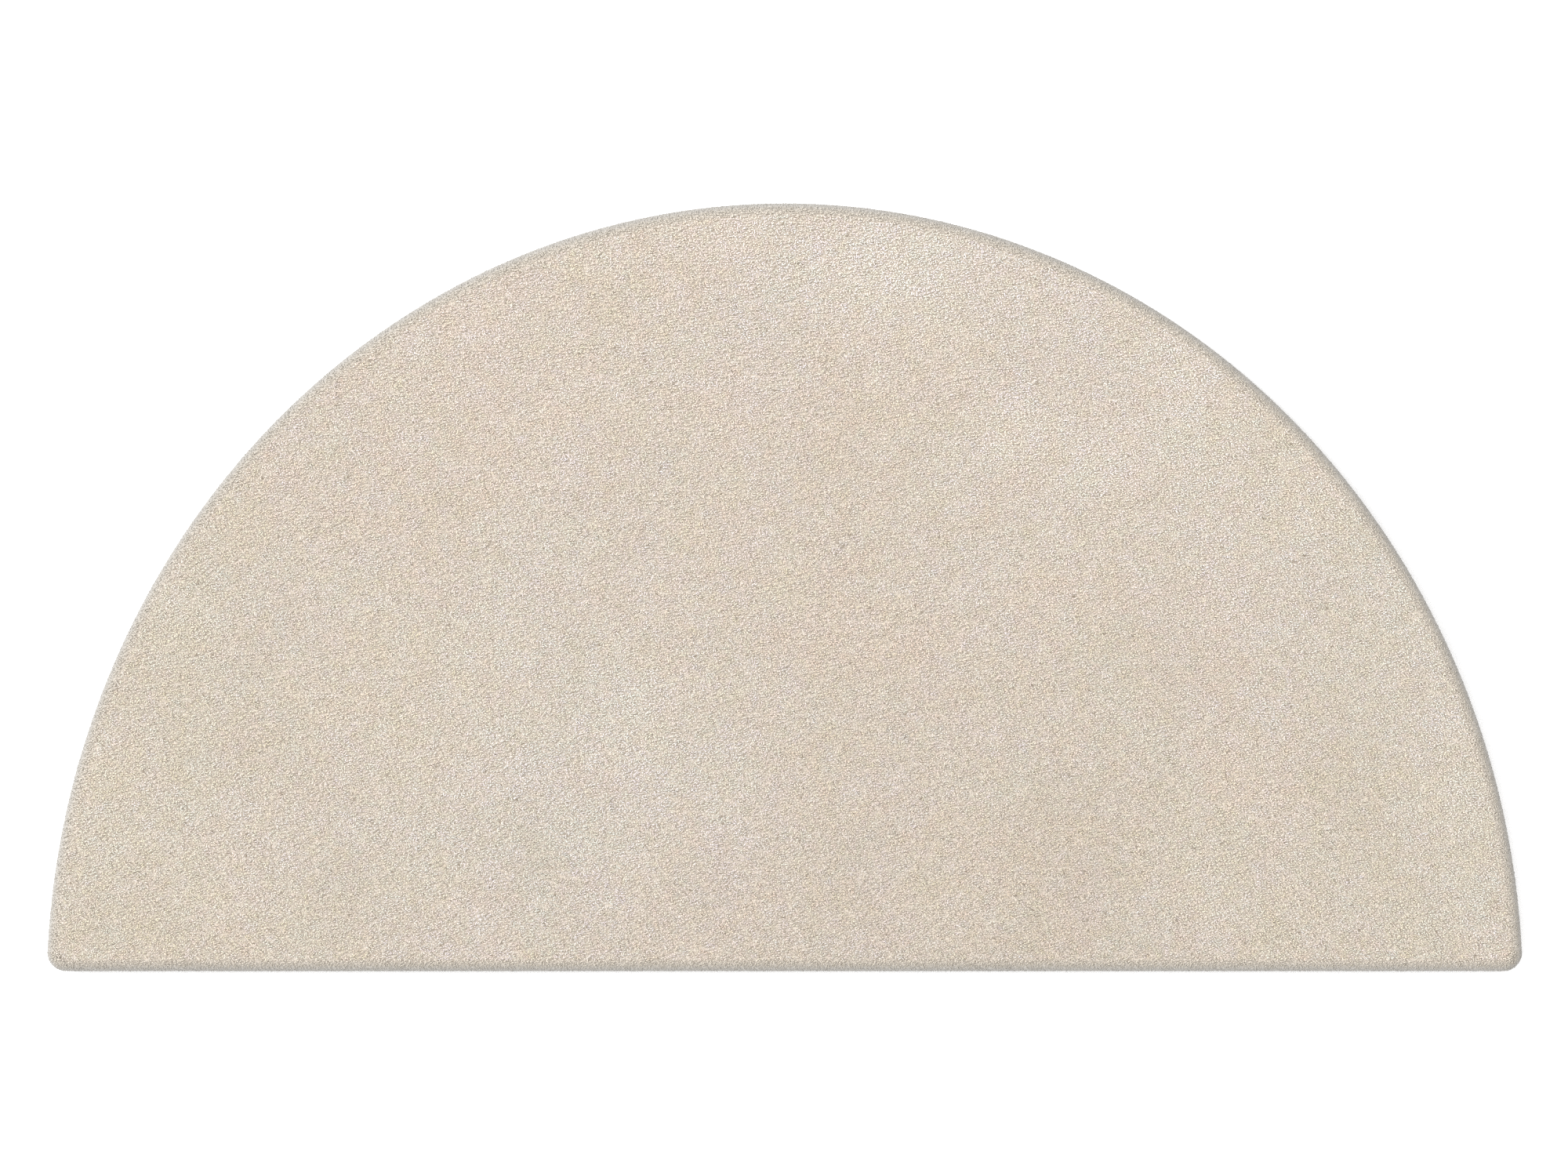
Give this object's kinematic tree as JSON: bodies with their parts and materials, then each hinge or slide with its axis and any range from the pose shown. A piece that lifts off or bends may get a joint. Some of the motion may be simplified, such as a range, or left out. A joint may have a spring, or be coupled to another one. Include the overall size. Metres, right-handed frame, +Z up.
{
  "type": "half-moon high-pile rug",
  "caption": "Half-moon floor rug with dense high cut pile, a rolled pile rim, two small rounded corners and a flat underside.",
  "frame": {"origin": "on the floor, under the middle of the rug's bounding box", "axes": "+X along the straight edge, +Y from the straight edge towards the round edge, +Z up through the pile"},
  "size_m": [1.2, 0.625, 0.0192],
  "materials": {
    "pile": "soft matt cream cut pile"
  },
  "bodies": {
    "root": {"rug": "pile"}
  },
  "joints": []
}
